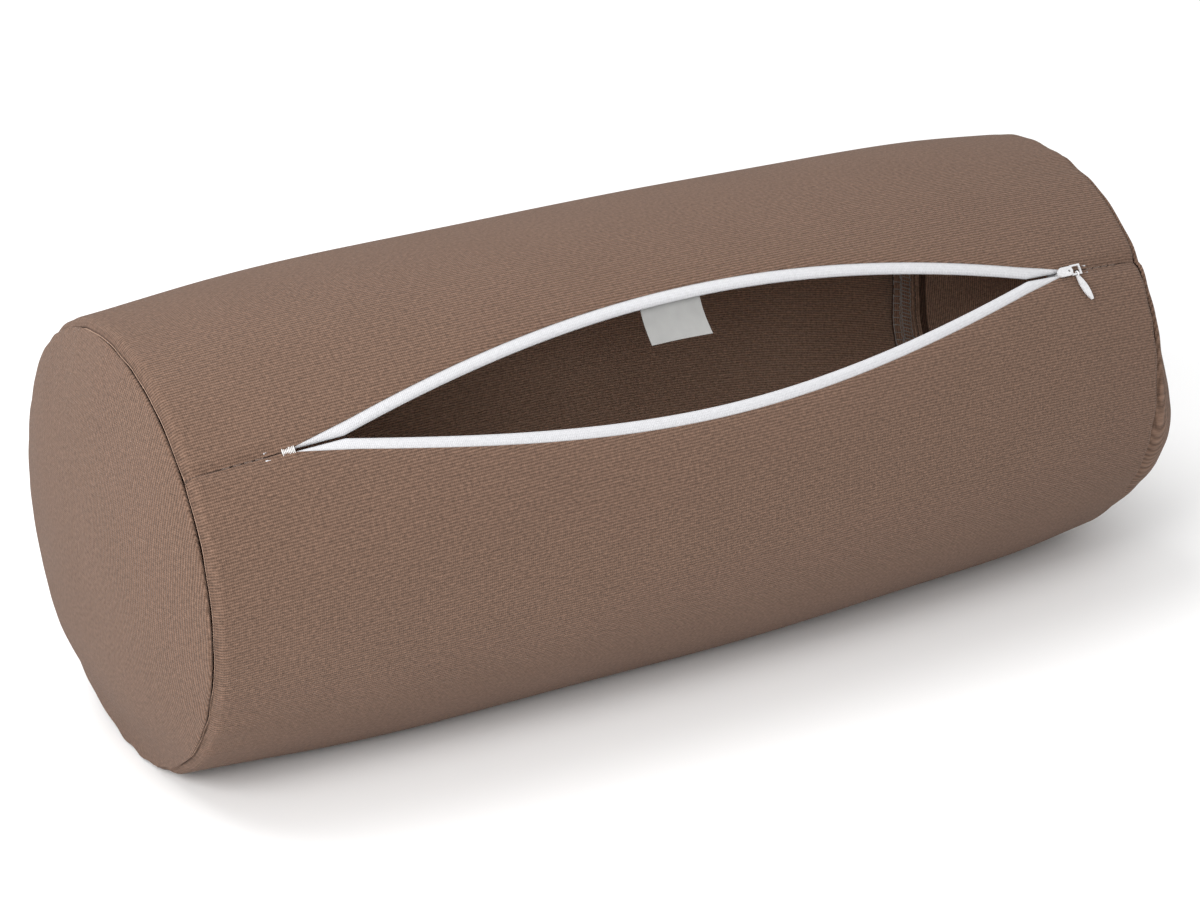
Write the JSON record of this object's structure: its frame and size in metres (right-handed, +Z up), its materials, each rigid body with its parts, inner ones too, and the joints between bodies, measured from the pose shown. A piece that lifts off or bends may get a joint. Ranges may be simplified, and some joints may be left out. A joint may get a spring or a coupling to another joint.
{
  "type": "bolster pillow cover",
  "caption": "Zip-up fabric cover of a cylindrical neck bolster, standing open and empty, with a concealed zip along one side and a sewn-in label.",
  "frame": {"origin": "middle of the surface that the cover rests on, under the middle of its length", "axes": "+X along the bolster towards the end where the undone zip's slider is, -Y towards the side that the zip faces, +Z up"},
  "size_m": [0.4, 0.1656, 0.1578],
  "materials": {
    "cover_fabric": "taupe cotton twill, fine matt weave",
    "zip_tape": "white polyester zip tape, close woven",
    "zip_coil": "white nylon coil",
    "slider_metal": "white enamelled cast zinc",
    "stop_metal": "plain pressed clip",
    "white_thread": "light grey polyester overlock thread",
    "taupe_thread": "taupe polyester sewing thread",
    "label_satin": "off-white satin ribbon, soft sheen"
  },
  "bodies": {
    "cover": {"body_panel": "cover_fabric", "left_end_disc": "cover_fabric", "right_end_disc": "cover_fabric", "upper_top_stop": "stop_metal", "lower_top_stop": "stop_metal", "bottom_stop": "stop_metal", "left_ring_stitch": "taupe_thread", "right_ring_stitch": "taupe_thread", "left_ring_overlock": "white_thread", "right_ring_overlock": "white_thread", "left_closing_stitch": "taupe_thread", "right_closing_stitch": "taupe_thread", "left_bartack": "taupe_thread", "right_bartack": "taupe_thread"},
    "upper_lip": {"upper_zip_tape": "zip_tape", "upper_zip_coil": "zip_coil", "upper_tape_stitch": "taupe_thread", "upper_edge_overlock": "white_thread"},
    "lower_lip": {"lower_zip_tape": "zip_tape", "lower_zip_coil": "zip_coil", "lower_tape_stitch": "taupe_thread", "lower_edge_overlock": "white_thread"},
    "slider": {"zip_slider": "slider_metal"},
    "pull": {"pull_tab": "slider_metal"},
    "label": {"label": "label_satin"}
  },
  "joints": [
    {"name": "zip_travel", "type": "slide", "parent": "cover", "child": "slider", "axis": [-1, 0, 0], "range_m": [0, 0.295], "deforming": ["body_panel"]},
    {"name": "upper_lip_close", "type": "hinge", "parent": "cover", "child": "upper_lip", "pos_m": [0, 0.07908, 0.05046], "axis": [1, 0, 0], "range_deg": [0, 14.4], "deforming": ["upper_zip_tape", "upper_zip_coil", "upper_tape_stitch", "upper_edge_overlock"]},
    {"name": "lower_lip_close", "type": "hinge", "parent": "cover", "child": "lower_lip", "pos_m": [0, -0.03508, 0], "axis": [-1, 0, 0], "range_deg": [0, 6.1], "deforming": ["lower_zip_tape", "lower_zip_coil", "lower_tape_stitch", "lower_edge_overlock"]},
    {"name": "pull_swing", "type": "hinge", "parent": "slider", "child": "pull", "pos_m": [0.1528, -0.06277, 0.12259], "axis": [-1, 0, 0], "range_deg": [0, 165]},
    {"name": "label_swing", "type": "hinge", "parent": "upper_lip", "child": "label", "pos_m": [-0.006, -0.04687, 0.13915], "axis": [1, 0, 0], "range_deg": [-45, 120]}
  ],
  "couplings": [
    {"joint": "upper_lip_close", "follows": "zip_travel", "rad_per_m": 0.84332},
    {"joint": "lower_lip_close", "follows": "zip_travel", "rad_per_m": 0.35498}
  ]
}
